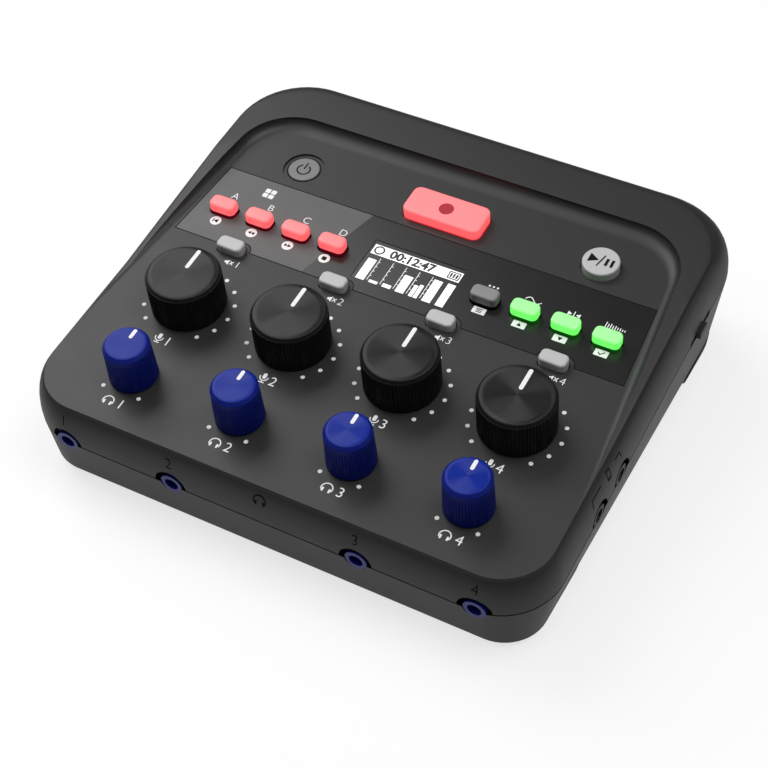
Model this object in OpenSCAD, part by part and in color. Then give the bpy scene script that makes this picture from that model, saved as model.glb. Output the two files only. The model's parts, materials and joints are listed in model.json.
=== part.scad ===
// Desktop podcast recorder: two moulded shells, a sunken control panel, knobs, keys and sockets.
// The panel leans towards the user. Its own frame has X to the right, Y to the back and Z out of
// the panel, with the origin in the middle of the gain knob row, on the panel's face.

/* [Body] */
// Half of the panel's width at its top edge
panel_half_w = 66.7; // [64:0.1:80]
// Distance from the gain knob row to the panel's front edge
panel_front = 40; // [38:0.5:48]
// Distance from the gain knob row to the back of the rim's flat top
rim_back = 79.4; // [78:0.1:90]
// Lean of the panel from the surface that the recorder stands on, degrees
panel_tilt = 7; // [5:0.5:12]
// Angle between the panel and the underside, degrees
base_slope = 5.8; // [4.6:0.1:6.2]
// Depth of the shells' parting line under the panel's face
part_depth = 10.6; // [9.6:0.2:12]
// How far the front wall swells out from the panel's edge to the parting line
front_bulge = 3.55; // [2:0.05:6]
// How far the side walls swell out from the panel's edge to the parting line
side_bulge = 3.1; // [1:0.1:4]
// How far the back wall swells out from the rim's flat top to the parting line
back_bulge = 7.6; // [4:0.1:9]
// How far the side walls draw in from the parting line to the underside
base_tuck = 2.7; // [0.5:0.1:4]
// How far the back wall draws in from the parting line to the underside
back_tuck = 1.2; // [0.4:0.1:2]
// How far the front wall draws in from the parting line to the underside
front_tuck = 1.25; // [0:0.05:2]
// Depth of the underside below the panel's face at the front wall
front_depth = 25.4; // [24.1:0.1:32]
// Rounding of the underside's edge
base_round = 3; // [2.6:0.1:5]
// Corner radius of the panel's front corners
front_corner = 12.5; // [8:0.5:18]
// Corner radius of the rim's back corners
back_corner = 20; // [14:0.5:24]
// Wall thickness of both shells
wall = 2.2; // [1.6:0.1:3]
// Width of the small bevel along the parting line
seam = 0.2; // [0.1:0.05:0.4]

/* [Rim] */
// Height of the rim over the panel at the back
rim_h = 2.8; // [2:0.1:4]
// Where the rim reaches its full height, behind the gain knob row
rim_full = 50; // [40:1:56]
// Where the rim starts to rise, behind the gain knob row
rim_start = 2; // [-12:1:10]
// Half of the sunken panel's width at its back corners
pocket_half_w = 62.6; // [62:0.1:63]
// Distance from the gain knob row to the back of the sunken panel
pocket_back = 69.1; // [66:0.1:72]
// Corner radius of the sunken panel
pocket_corner = 15.5; // [10:0.5:20]
// Width of the hollow slope between the panel and the rim at the back
slope_back = 4.5; // [2:0.1:6]
// Width of the hollow slope between the panel and the rim at the sides
slope_side = 2.5; // [1:0.1:3]
// How much wider the sunken panel gets for each millimetre towards the front
pocket_flare = 0.1; // [0.08:0.004:0.12]

/* [Feet] */
// Depth of the moulded feet's plane below the panel's face, at the gain knob row
foot_depth = 30.2; // [29.8:0.2:36]
// Length of the front feet along the side walls
front_foot_l = 29; // [20:1:32]
// Length of the rear feet along the side walls
rear_foot_l = 31; // [20:1:34]
// Width of the feet, inwards from the widest point of the wall
foot_w = 26; // [22:1:40]
// Rounding of the feet's lower edge
foot_round = 2.5; // [2:0.1:3]
// Radius of the rubber pads
pad_r = 6; // [4:0.5:7]
// Thickness of the rubber pads
pad_t = 1.5; // [1:0.1:2]
// How far the rubber pads stand out of the feet
pad_proud = 0.5; // [0.3:0.1:0.8]

/* [Knobs] */
// Spacing of the four channels across the panel
channel_pitch = 30; // [28:0.5:31]
// Radius of the gain knobs
gain_r = 9.5; // [8:0.1:11]
// Height of the gain knobs' top over the panel
gain_h = 11.35; // [9:0.05:16]
// Distance from the gain knob row to the phones knob row, towards the front
phones_row = 25.3; // [24:0.1:27]
// Radius of the phones knobs at their foot
phones_r = 6.05; // [5:0.05:7]
// Radius of the phones knobs at their shoulder
phones_top_r = 5.75; // [4.8:0.05:6.4]
// Height of the phones knobs' top over the panel
phones_h = 11.65; // [9:0.05:16]
// Running gap between a knob and the panel
knob_gap = 0.4; // [0.3:0.05:0.8]
// Depth of the grip ribs round a knob
rib_depth = 0.22; // [0.1:0.02:0.3]
// Number of grip ribs round a gain knob
gain_ribs = 72; // [24:1:90]
// Number of grip ribs round a phones knob
phones_ribs = 52; // [20:1:64]
// Radius of the gain shafts
gain_shaft_r = 3; // [2:0.1:3.5]
// Radius of the phones shafts
phones_shaft_r = 2; // [1.5:0.1:2.5]
// Running gap round a shaft in its bush
shaft_gap = 0.05; // [0.03:0.01:0.08]

/* [Keys] */
// Width of a small key
key_w = 7.2; // [6:0.1:8.5]
// Depth of a small key
key_d = 4.1; // [3.5:0.1:6]
// Height of a small key's cap
key_h = 2.5; // [1.5:0.1:3]
// Height of the skirt that lifts the caps of the key row off the strip
key_lift = 0.8; // [0.3:0.1:1.2]
// Spacing of the small keys in a row
key_pitch = 10.8; // [9.8:0.1:11]
// Distance from the middle of the panel to the innermost small key
key_first_x = 21.5; // [20.5:0.1:22]
// Distance from the gain knob row to the key row
key_row = 31.65; // [31.2:0.05:33]
// Distance from the gain knob row to the middle of the display
lcd_row = 32; // [31.4:0.1:33]
// Distance from the gain knob row to the mute keys
mute_row = 20.4; // [20:0.1:22]
// Distance from the gain knob row to the power and play keys
deck_row = 53.85; // [53:0.05:55]
// Distance from the gain knob row to the record key
record_row = 53.5; // [53:0.1:54.5]
// Distance of the power and play keys from the middle
deck_x = 42.7; // [38:0.1:46]
// Width of the record key
record_w = 21.7; // [18:0.1:30]
// Depth of the record key
record_d = 9.4; // [8:0.1:11]
// Height of the record key over the panel
record_h = 3; // [1.5:0.1:4]
// Radius of the play key
play_r = 4.8; // [4:0.1:6]
// Height of the play key over the panel
play_h = 2.2; // [1:0.1:4]
// Radius of the power key
power_r = 4.25; // [3:0.05:5]
// Radius of the shallow recess round the power key
power_recess_r = 5.6; // [5.2:0.1:7]
// Depth of the shallow recess round the power key
power_recess = 0.5; // [0.4:0.1:1.2]
// Gap round a key in its opening
key_gap = 0.3; // [0.2:0.05:0.4]
// Travel of every key
key_travel = 0.7; // [0.3:0.05:0.8]

/* [Display strip] */
// Distance from the gain knob row to the strip's front edge
strip_front = 21.05; // [20.5:0.05:22]
// Distance from the gain knob row to the strip's back edge
strip_back = 46.2; // [44:0.1:47]
// Half of the strip's width at its front edge
strip_half_front = 62.6; // [58:0.1:62.6]
// Half of the strip's width at its back edge
strip_half_back = 60.8; // [58:0.1:60.8]
// Where the two halves of the strip meet, at the front edge
split_front_x = -24.9; // [-26.5:0.1:-24.5]
// Where the two halves of the strip meet, at the back edge
split_back_x = -17.5; // [-17.8:0.1:-14]
// Thickness of the strip's two covers
cover_t = 0.75; // [0.5:0.05:1]
// Width of the display
lcd_w = 25.7; // [20:0.1:27]
// Depth of the display
lcd_d = 13.7; // [10:0.1:15]

/* [Sockets] */
// Distance of the inner phones sockets from the middle
phones_inner_x = 24.9; // [22:0.1:26]
// Spacing of the phones sockets in a pair
phones_pitch = 29.9; // [27:0.1:30]
// Radius of a phone socket's bore
jack_bore_r = 1.8; // [1.76:0.01:1.9]
// Outer radius of a phone socket's collar
jack_collar_r = 2.88; // [2.5:0.02:3.2]
// Depth of a phone socket behind the wall
jack_l = 14; // [12:0.5:15]
// Radius of the hollow round each collar, in the top shell
jack_dish_r = 4.3; // [3.6:0.1:5]
// Distance of the front side socket in front of the gain knob row
side_jack_front = 8.3; // [7:0.1:9]
// Spacing of the two side sockets
side_jack_pitch = 12.7; // [11:0.1:13]
// Radius of a microphone socket's body
mic_r = 11.4; // [11:0.1:11.8]
// Depth of a microphone socket behind the back wall
mic_l = 22; // [18:0.5:22]
// Depth of the microphone sockets' middle below the panel's face
mic_depth = 22.9; // [22.8:0.1:23.4]

/* [Batteries] */
// Diameter of a battery
cell_dia = 14.5; // [14.2:0.1:14.5]
// Length of a battery
cell_l = 50.5; // [49:0.1:51]
// Number of batteries side by side
cell_count = 4; // [2:1:4]
// Distance from the front wall to the battery bay, along the underside
bay_front = 22; // [20:0.5:26]
// Thickness of the battery door
door_t = 1.4; // [1.2:0.1:1.6]
// Gap round the battery door
door_gap = 0.25; // [0.2:0.05:0.4]

/* [Hidden] */

// Facets of the round corners in the blended shells
corner_fn = 48;
// Facets of true round parts
round_fn = 64;
// Sides of the fine grooves in the small knobs
groove_fn = 4;
// Thin slice that a blend runs through
slice = 0.01;
// Half height of the straight neck where the base's hollow meets the top's
neck_h = 0.5;
// A cut runs this far past the face that it opens
over = 5;
// Gap between pieces that sit in each other without moving
seat_gap = 0.02;

// Shell sizes
corner_swell = -3;
part_half_w = panel_half_w + side_bulge;
part_front = panel_front + front_bulge;
part_back = rim_back + back_bulge;
part_front_r = front_corner + side_bulge;
base_corner_drop = 1.5;
base_front_r = front_corner - base_corner_drop;
part_back_r = back_corner + corner_swell;
base_half_w = part_half_w - base_tuck;
base_front = part_front - front_tuck;
base_back = part_back - back_tuck;
panel_t = wall;
loft_step = 10;
lip_over = 0.2;
rim_end_r = 1;
foot_start = 1;
pocket_draft = 0.5;

// Boards and inner levels, measured from the panel's face
board_t = 1.6;
board_bottom = -part_depth + jack_collar_r;
board_top = board_bottom + board_t;
board_side_gap = 3;
board_half_w = panel_half_w - wall - board_side_gap;
board_front = panel_front - 2 * wall;
board_back_margin = 5.6;
board_back = deck_row + board_back_margin;
board_corner_drop = 1;
board_corner = front_corner - board_corner_drop;
flange_gap = 0.3;
flange_t = 0.8;
flange_edge = 0.7;
flange_top = -panel_t - flange_gap;
flange_bottom = flange_top - flange_t;
tact_gap = 0.1;
tact_top = flange_bottom - key_travel - tact_gap;
tact_side = 4.4;
tact_plunger_r = 1.1;
tact_plunger_h = 0.5;

// Channel and key positions across the panel
channel_x = [for (i = [0:3]) (i - 1.5) * channel_pitch];
phones_x = [-phones_inner_x - phones_pitch, -phones_inner_x, phones_inner_x, phones_inner_x + phones_pitch];
function key_x(i) = key_first_x + i * key_pitch;
side_jack_y = [-side_jack_front, -side_jack_front + side_jack_pitch];

// Knob details
gain_bevel = 0.7;
phones_bevel = 0.8;
phones_chamfer = 0.7;
phones_disc_r = phones_top_r - phones_chamfer;
bush_wall = 0.45;
bush_gap = 0.1;
bush_top = -0.3;
bush_root = 1;
knob_roof = 2;
pot_side = 10;
phones_pot_side = 8;
pot_body_h = -panel_t - seat_gap - board_top;
phones_cap_h = 1.4;
phones_rib_r = 0.16;
gain_bush_r = gain_shaft_r + shaft_gap + bush_wall;
phones_bush_r = phones_shaft_r + shaft_gap + bush_wall;

// Key details
key_corner = 1.4;
key_edge = 0.6;
skirt_inset = 0.15;
mute_margin = 1.2;
mute_corner = 2.4;
record_corner = 2;
record_edge = 0.5;
crown_steps = 3;
play_edge = 0.5;
power_edge = 0.3;
power_top = -0.2;

// Frame behind the screen, whose front edge stops short of the mute keys' flanges
lcd_frame = 2;
lcd_front = mute_row + key_d / 2 + flange_edge + flange_gap;
lcd_back = lcd_row + lcd_d / 2 + lcd_frame;

// Phone sockets
jack_sink = 0.25;
jack_body_half = 3.75;
jack_neck_spare = 1;
jack_neck = wall + front_bulge + jack_neck_spare;

// Rubber pads
pad_front_y = -29;
pad_back_y = 70;
pad_inset = 14;
pad_x = panel_half_w - pad_inset;

// Case screws
screw_r = 1.5;
screw_head_r = 2.7;
screw_head_h = 2;
screw_gap = 0.2;
boss_r = 4.2;
screw_sink = 8;
screw_room = 0.3;
screw_tip_gap = 1.1;
screw_tip = -panel_t - screw_tip_gap;
screw_inset = 6;
screw_x = panel_half_w - screw_inset;
screw_y = [-24, 40];
cross_l = 3.24;
cross_w = 0.8;

// Slide switch on the right side wall
switch_y = 53.7;
switch_slot_l = 12.8;
switch_slot_h = 2.6;
switch_travel = 3.8;
slider_l = 4.2;
slider_h = 2;
slider_proud = 1;
slider_gap = 0.2;
tongue_l = 3;
tongue_h = 1.4;
tongue_in = 2.4;
switch_sink = 1;
switch_face = panel_half_w - wall - switch_sink;
switch_body_l = switch_slot_l + 2;
switch_deep = 9;
switch_body_h = 2 * jack_collar_r;

// Ports on the left side wall
usb_y = 24;
usb_w = 9;
usb_h = 3.3;
usb_l = 8;
usb_wall = 0.35;
usb_tongue_h = 0.7;
usb_tongue_w = 6.6;
usb_sink = 0.8;
usb_z = board_bottom - usb_h / 2;
card_y = 52;
card_w = 12.4;
card_h = 1.9;
card_l = 14;
card_wall = 0.3;
card_sink = 1;
card_z = board_bottom - card_h / 2;
port_floor = 1;
port_gap = 0.15;

// Microphone sockets
mic_bore_r = 9.7;
mic_bore_l = 15;
mic_insert_r = 7.8;
mic_insert_sink = 0.8;
mic_pin_r = 1.3;
mic_pin_ring = 4.2;
mic_pin_l = 12;
mic_gap = 0.2;
mic_pin_turns = [30, 150, 270];
mic_flange_w = 1;
mic_flange_r = mic_r + mic_flange_w;
mic_flange_t = 1.5;
mic_proud = 0.2;
mic_face = part_back + mic_proud;
mic_wall_gap = 0.7;
mic_inner_wall = part_back - wall - back_tuck - mic_wall_gap;

// Battery bay, measured in the underside's own frame
cell_gap = 0.3;
cell_pitch = cell_dia + cell_gap;
contact_t = 0.4;
contact_side = 9;
contact_bump_r = 2.5;
contact_bump_h = 1;
cell_nub_r = 2.7;
cell_nub_h = 1;
bay_half_w = cell_l / 2 + contact_t + contact_bump_h + 2 * cell_gap;
bay_l = cell_count * cell_pitch + cell_gap;
bay_ceiling = door_t + cell_gap + cell_dia + cell_gap;
bay_wall = 1.2;
door_ledge = 2;
door_half_w = bay_half_w + door_ledge;
door_l = bay_l + 2 * door_ledge;
cell_z = door_t + cell_gap + cell_dia / 2;
door_ribs = 4;
door_rib_w = 16;
door_rib_y = 6;
door_rib_pitch = 2;
door_rib_t = 1;
door_rib_depth = 0.5;

// Feet: place and radius of the corners they end in, start and length along the sides
foot_corners = [[base_front_r - base_front, base_front_r], [base_back - part_back_r, part_back_r]];
foot_spans = [[-part_front - over, front_foot_l + over], [part_back - rear_foot_l, rear_foot_l + over]];

// Where the panel's frame stands: its height over the table, and its place between front and back
lift = foot_depth * cos(panel_tilt) + pad_proud;
front_reach = part_front * cos(panel_tilt) - (part_depth + seam) * sin(panel_tilt);
foot_edge_y = base_back - foot_round;
foot_reach = foot_edge_y * cos(panel_tilt)
    - (foot_plane_z(foot_edge_y) + foot_round / cos(panel_tilt)) * sin(panel_tilt) + foot_round;
mic_reach = mic_face * cos(panel_tilt) + (mic_depth + mic_r) * sin(panel_tilt);
back_reach = max(foot_reach, mic_reach);
shift = (front_reach - back_reach) / 2;

// Height of the underside and of the feet's plane below a point of the panel's frame
function base_z(y) = -front_depth - (y + base_front) * tan(base_slope);
function foot_plane_z(y) = -foot_depth - y * tan(panel_tilt);

// The walls swell out from the top edge to the parting line along a quarter of an ellipse
function swell_half_w(a) = panel_half_w + side_bulge * sin(a);
function swell_front(a) = panel_front + front_bulge * sin(a);
function swell_back(a) = rim_back + back_bulge * sin(a);
function swell_front_r(a) = front_corner + side_bulge * sin(a);
function swell_back_r(a) = back_corner + corner_swell * sin(a);
function swell_z(a, top) = (part_depth + top) * cos(a) - part_depth;

function arc(cx, cy, r, from, to, n) =
    [for (i = [0:n]) let (a = from + (to - from) * i / n) [cx + r * cos(a), cy + r * sin(a)]];
function round_rect(w, d, r, n = 5) = concat(
    arc(w / 2 - r, d / 2 - r, r, 0, 90, n), arc(r - w / 2, d / 2 - r, r, 90, 180, n),
    arc(r - w / 2, r - d / 2, r, 180, 270, n), arc(w / 2 - r, r - d / 2, r, 270, 360, n));

module in_panel() translate([0, shift, lift]) rotate([panel_tilt, 0, 0]) children();

module slab(w, d, r, from, to)
    translate([0, 0, from]) linear_extrude(to - from) polygon(round_rect(w, d, r));
// Round bar or bore along the panel's normal
module rod(r, from, to) translate([0, 0, from]) cylinder(r = r, h = to - from, $fn = round_fn);
module along_y(y) translate([0, y, 0]) rotate([-90, 0, 0]) children();
module along_x(x) translate([x, 0, 0]) rotate([0, 90, 0]) children();

// Thin disc at one corner of an outline
module disc(x, y, z, r) translate([x, y, z]) cylinder(r = r, h = slice, $fn = corner_fn);

// Four corner discs of an outline, to blend between
module outline(half_w, front, back, front_r, back_r, z)
    for (s = [-1, 1]) {
        disc(s * (half_w - front_r), front_r - front, z, front_r);
        disc(s * (half_w - back_r), back - back_r, z, back_r);
    }
// The outline at the parting line, drawn in a little where the seam is broken
module part_outline(inset, z)
    outline(part_half_w - inset, part_front - inset, part_back - inset, part_front_r, part_back_r, z);

// A corner whose edge is rounded, as a ring of circles
module round_corner(corner_r, edge_r)
    rotate_extrude($fn = corner_fn) translate([corner_r - edge_r, 0]) circle(r = edge_r, $fn = corner_fn);

// Outer form of the top shell up to just over the panel's face
module top_body() hull() {
    part_outline(seam, -part_depth);
    for (a = [0:loft_step:90 - loft_step])
        outline(swell_half_w(a), swell_front(a), swell_back(a), swell_front_r(a), swell_back_r(a),
            swell_z(a, lip_over));
    part_outline(0, seam - part_depth);
}

// One level of the rim or of the sunken panel: round corners at the back, two points at the front
module rim_level(back_w, back, back_r, front_w, front, front_r, z)
    for (s = [-1, 1]) {
        disc(s * (back_w - back_r), back - back_r, z, back_r);
        disc(s * (front_w - front_r), front, z, front_r);
    }

// The rim grows out of the panel's sides and keeps its height along the back
module rim_body() hull() for (a = [0:loft_step:90 - loft_step]) {
    rim_level(swell_half_w(a), swell_back(a), swell_back_r(a), swell_half_w(a), rim_full, rim_end_r,
        swell_z(a, rim_h) - slice);
    for (s = [-1, 1]) translate([s * (swell_half_w(a) - slice), rim_start, swell_z(a, 0)])
        cylinder(r = slice, h = slice);
}

// The sunken panel with its hollow slope up to the rim, open at the front
module panel_pocket() {
    open_y = -panel_front - pocket_corner - over;
    open_w = pocket_half_w + pocket_flare * (pocket_back - pocket_corner - open_y);
    hull() {
        for (a = [0:loft_step:90])
            rim_level(pocket_half_w - slope_side * (1 - sin(a)), pocket_back - slope_back * (1 - sin(a)),
                pocket_corner - slope_side * (1 - sin(a)), open_w - slope_side * (1 - sin(a)), open_y,
                pocket_corner - slope_side * (1 - sin(a)), rim_h * (1 - cos(a)));
        rim_level(pocket_half_w + pocket_draft, pocket_back + pocket_draft, pocket_corner,
            open_w + pocket_draft, open_y, pocket_corner, rim_h + over);
    }
}

// Mouth of the hollow in either shell, at the parting line
module cavity_mouth(z)
    outline(part_half_w - wall, part_front - wall, part_back - wall,
        part_front_r - wall, part_back_r - wall, z);

module top_cavity() hull() {
    cavity_mouth(-part_depth - slice);
    outline(panel_half_w - wall, panel_front - wall, rim_back, front_corner - wall, back_corner - wall,
        -panel_t);
}

module at_keys() {
    for (i = [0:3], s = [-1, 1]) translate([s * key_x(i), key_row, 0]) children();
    for (x = channel_x) translate([x, mute_row, 0]) children();
}

module strip_outline(grow = 0) polygon([
    [-strip_half_front - grow, strip_front - grow], [strip_half_front + grow, strip_front - grow],
    [strip_half_back + grow, strip_back + grow], [-strip_half_back - grow, strip_back + grow]]);

// The strip's front edge goes round the mute keys
module mute_notches(depth, grow = 0) {
    margin = mute_margin - grow;
    for (x = channel_x) translate([x, mute_row, 0])
        slab(key_w + 2 * margin, key_d + 2 * margin, mute_corner - grow, -depth, over);
}

module strip_recess() difference() {
    translate([0, 0, -cover_t - seat_gap]) linear_extrude(over) strip_outline(seat_gap);
    mute_notches(cover_t + over, seat_gap);
}

module panel_openings() {
    at_keys() slab(key_w + 2 * key_gap, key_d + 2 * key_gap, key_corner + key_gap, -over, over);
    translate([0, record_row, 0])
        slab(record_w + 2 * key_gap, record_d + 2 * key_gap, record_corner + key_gap, -over, over);
    translate([deck_x, deck_row, 0]) rod(play_r + key_gap, -over, over);
    translate([-deck_x, deck_row, 0]) rod(power_r + key_gap, -over, over);
    translate([-deck_x, deck_row, 0]) rod(power_recess_r, -power_recess, over);
    translate([0, lcd_row, -over]) linear_extrude(2 * over) square([lcd_w, lcd_d], center = true);
    for (x = channel_x) {
        translate([x, 0, 0]) rod(gain_bush_r + bush_gap, -over, over);
        translate([x, -phones_row, 0]) rod(phones_bush_r + bush_gap, -over, over);
    }
}

module at_phones_jacks(x) translate([x, 0, -part_depth]) children();
module at_side_jacks(y) translate([0, y, -part_depth]) children();

// Round seats of the phone sockets, half in each shell
module jack_seats() {
    for (x = phones_x) at_phones_jacks(x) along_y(-part_front - over)
        cylinder(r = jack_collar_r + seat_gap, h = over + wall + front_bulge, $fn = round_fn);
    for (y = side_jack_y) at_side_jacks(y) along_x(part_half_w - wall - side_bulge)
        cylinder(r = jack_collar_r + seat_gap, h = over + wall + side_bulge, $fn = round_fn);
}

// Shallow hollows round the collars, in the top shell alone
module jack_dishes() {
    for (x = phones_x) at_phones_jacks(x) along_y(-part_front - over)
        cylinder(r = jack_dish_r, h = over + front_bulge / 2, $fn = round_fn);
    for (y = side_jack_y) at_side_jacks(y) along_x(part_half_w - side_bulge / 2)
        cylinder(r = jack_dish_r, h = over, $fn = round_fn);
}

// Slots of the slide switch and the two ports, which cross the parting line
module side_slots() {
    translate([switch_face + over / 2, switch_y - switch_slot_l / 2, -part_depth - switch_slot_h / 2])
        cube([part_half_w, switch_slot_l, switch_slot_h]);
    translate([-2 * part_half_w, usb_y, usb_z]) along_x(0) linear_extrude(part_half_w + over)
        polygon(round_rect(usb_h + 2 * port_gap, usb_w + 2 * port_gap, usb_h / 2));
    translate([-2 * part_half_w, card_y - card_w / 2 - port_gap, card_z - card_h / 2 - port_gap])
        cube([part_half_w + over, card_w + 2 * port_gap, card_h + 2 * port_gap]);
}

module at_screws() for (s = [-1, 1], y = screw_y) translate([s * screw_x, y, 0]) children();

module top_shell() color("#3c3c3e") in_panel() difference() {
    union() {
        difference() {
            union() {
                top_body();
                rim_body();
            }
            panel_pocket();
            top_cavity();
        }
        at_screws() rod(boss_r, board_top, -slice);
    }
    strip_recess();
    panel_openings();
    jack_seats();
    jack_dishes();
    side_slots();
    at_screws() rod(screw_r + seat_gap, -part_depth, screw_tip + screw_room);
}

// Outer form of the bottom shell between the parting line and the underside
module base_body() hull() {
    part_outline(seam, -part_depth - slice);
    part_outline(0, -part_depth - seam);
    base_ring(base_half_w, base_front, base_back, base_front_r, part_back_r, base_round);
}

module foot_level() translate([0, 0, -foot_depth]) rotate([-panel_tilt, 0, 0]) children();

module base_ring(half_w, front, back, front_r, back_r, edge_r)
    for (s = [-1, 1], corner = [[front_r - front, front_r], [back - back_r, back_r]])
        let (y = corner[0], r = corner[1])
            translate([s * (half_w - r), y, base_z(y) + edge_r / cos(base_slope)])
                rotate([-base_slope, 0, 0]) round_corner(r, edge_r);

// The feet continue the walls down to the plane that the recorder stands on
module foot_body() intersection() {
    hull() {
        part_outline(seam, -part_depth - foot_start);
        for (s = [-1, 1], corner = foot_corners) let (y = corner[0], r = corner[1])
            translate([s * (base_half_w - r), y, foot_plane_z(y) + foot_round / cos(panel_tilt)])
                rotate([-panel_tilt, 0, 0]) round_corner(r, foot_round);
    }
    foot_blocks();
}

module foot_blocks()
    for (s = [-1, 1], span = foot_spans) let (y = span[0], l = span[1])
        translate([s > 0 ? part_half_w - foot_w : -part_half_w - over, y, -3 * foot_depth])
            cube([foot_w + over, l, 3 * foot_depth + base_z(y + l / 2) + base_round]);

// Its walls run straight across the parting line, then blend to the floor's edge
module base_cavity() hull() {
    for (side = [-1, 1]) cavity_mouth(side * neck_h - part_depth);
    translate([0, 0, wall / cos(base_slope)])
        base_ring(base_half_w - wall, base_front - wall, base_back - wall,
            base_front_r - wall, part_back_r - wall, base_round - wall);
}

module in_bay() translate([0, -base_front, -front_depth]) rotate([-base_slope, 0, 0])
    translate([0, bay_front, 0]) children();

module bay_box(grow, from, to) translate([-bay_half_w - grow, -grow, from])
    cube([2 * (bay_half_w + grow), bay_l + 2 * grow, to - from]);

module door_recess() translate([-door_half_w - door_gap, -door_ledge - door_gap, -over])
    cube([2 * (door_half_w + door_gap), door_l + 2 * door_gap, over + door_t + seat_gap]);

module bottom_shell() color("#38383a") in_panel() difference() {
    union() {
        difference() {
            union() {
                base_body();
                foot_body();
            }
            base_cavity();
        }
        in_bay() bay_box(bay_wall, door_t + seat_gap, bay_ceiling + bay_wall);
        for (s = [-1, 1], y = screw_y) translate([s * screw_x, y, 0])
            rod(boss_r, base_z(y) + wall / 2, board_bottom);
    }
    in_bay() bay_box(0, -over, bay_ceiling);
    in_bay() door_recess();
    jack_seats();
    side_slots();
    for (x = channel_x) translate([x, 0, -mic_depth]) along_y(mic_inner_wall - over)
        cylinder(r = mic_r + mic_gap, h = 3 * over, $fn = round_fn);
    for (s = [-1, 1], y = screw_y) translate([s * screw_x, y, 0]) screw_hole(y);
    pad_seats();
}

module screw_hole(y) {
    rod(screw_r + screw_gap, -2 * foot_depth, 0);
    rod(screw_head_r + screw_gap, -2 * foot_depth, base_z(y) + screw_sink);
}

module at_pads() for (s = [-1, 1], y = [pad_front_y, pad_back_y])
    translate([s * pad_x, y / cos(panel_tilt), 0]) children();
module pad_seats() foot_level() at_pads() rod(pad_r + seat_gap, -over, pad_t - pad_proud);

module rubber_pads() color("#1a1a1a") in_panel() foot_level() at_pads()
    rod(pad_r, -pad_proud, pad_t - pad_proud);

module case_screws() color("#77797c") in_panel()
    for (s = [-1, 1], y = screw_y) translate([s * screw_x, y, base_z(y) + screw_sink]) difference() {
        union() {
            rod(screw_head_r, -screw_head_h, 0);
            rod(screw_r, -slice, screw_tip - base_z(y) - screw_sink);
        }
        for (a = [0, 90]) rotate(a) translate([0, 0, -screw_head_h])
            cube([cross_l, cross_w, screw_head_h], center = true);
    }

// Light cover of the pad half and dark cover of the display half
module half_cover(left) {
    far = left ? -2 * panel_half_w : 2 * panel_half_w;
    side = left ? -seat_gap / 2 : seat_gap / 2;
    end_y = strip_back + over;
    difference() {
        translate([0, 0, -cover_t]) linear_extrude(cover_t) intersection() {
            strip_outline();
            polygon([[far, 0], [split_at(0) + side, 0], [split_at(end_y) + side, end_y], [far, end_y]]);
        }
        mute_notches(cover_t + over);
        panel_openings();
    }
}
function split_at(y) = split_front_x + (y - strip_front) * (split_back_x - split_front_x)
    / (strip_back - strip_front);

module pad_cover() color("#6c6c6e") in_panel() half_cover(true);
module display_cover() color("#18181a") in_panel() half_cover(false);

module lcd_module() color("#4b4c4e") in_panel() {
    translate([0, lcd_row, -panel_t]) linear_extrude(panel_t - cover_t / 4)
        square([lcd_w - 2 * seat_gap, lcd_d - 2 * seat_gap], center = true);
    translate([0, (lcd_front + lcd_back) / 2, board_top]) linear_extrude(-panel_t - board_top)
        square([lcd_w + 2 * lcd_frame, lcd_back - lcd_front], center = true);
}

module main_board() color("#1f5d3a") in_panel() difference() {
    translate([0, (board_back - board_front) / 2, board_bottom]) linear_extrude(board_t)
        polygon(round_rect(2 * board_half_w, board_front + board_back, board_corner));
    at_screws() rod(screw_r + screw_gap, -part_depth, 0);
}

module pot(side, bush_r, shaft_r) difference() {
    union() {
        translate([-side / 2, -side / 2, board_top]) cube([side, side, pot_body_h]);
        rod(bush_r, -panel_t - bush_root, bush_top);
    }
    rod(shaft_r + shaft_gap, board_top + slice, over);
}
module gain_pots() color("#8a8d90") in_panel()
    for (x = channel_x) translate([x, 0, 0]) pot(pot_side, gain_bush_r, gain_shaft_r);
module phones_pots() color("#8a8d90") in_panel()
    for (x = channel_x) translate([x, -phones_row, 0]) pot(phones_pot_side, phones_bush_r, phones_shaft_r);

module tact_switches() color("#2a2a2c") in_panel() {
    at_keys() tact();
    for (x = [-deck_x, deck_x]) translate([x, deck_row, 0]) tact();
    translate([0, record_row, 0]) tact();
}
module tact() {
    translate([-tact_side / 2, -tact_side / 2, board_top])
        cube([tact_side, tact_side, tact_top - tact_plunger_h - board_top]);
    rod(tact_plunger_r, board_top, tact_top);
}

// Phone socket: collar in the wall, housing behind it and a blind bore
module jack() difference() {
    union() {
        rod(jack_collar_r, 0, jack_l);
        translate([-jack_collar_r, -jack_body_half, jack_neck])
            cube([2 * jack_collar_r, 2 * jack_body_half, jack_l - jack_neck]);
    }
    rod(jack_bore_r, -over, jack_l - wall);
}
module phones_jack(i) color("#14267f") in_panel()
    at_phones_jacks(phones_x[i]) along_y(jack_sink - part_front)
    rotate(90) jack();
module side_jack(i) color("#151516") in_panel() at_side_jacks(side_jack_y[i])
    translate([part_half_w - jack_sink, 0, 0]) rotate([0, -90, 0]) jack();

// Round microphone socket: a tube for the plug's shell, with a flange behind the back wall
module at_mic(i) translate([channel_x[i], mic_face, -mic_depth]) rotate([90, 0, 0]) children();
module mic_socket(i) color("#202022") in_panel() at_mic(i) difference() {
    union() {
        rod(mic_r, 0, mic_l);
        rod(mic_flange_r, mic_face - mic_inner_wall, mic_face - mic_inner_wall + mic_flange_t);
    }
    rod(mic_bore_r, -over, mic_bore_l);
}

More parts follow.
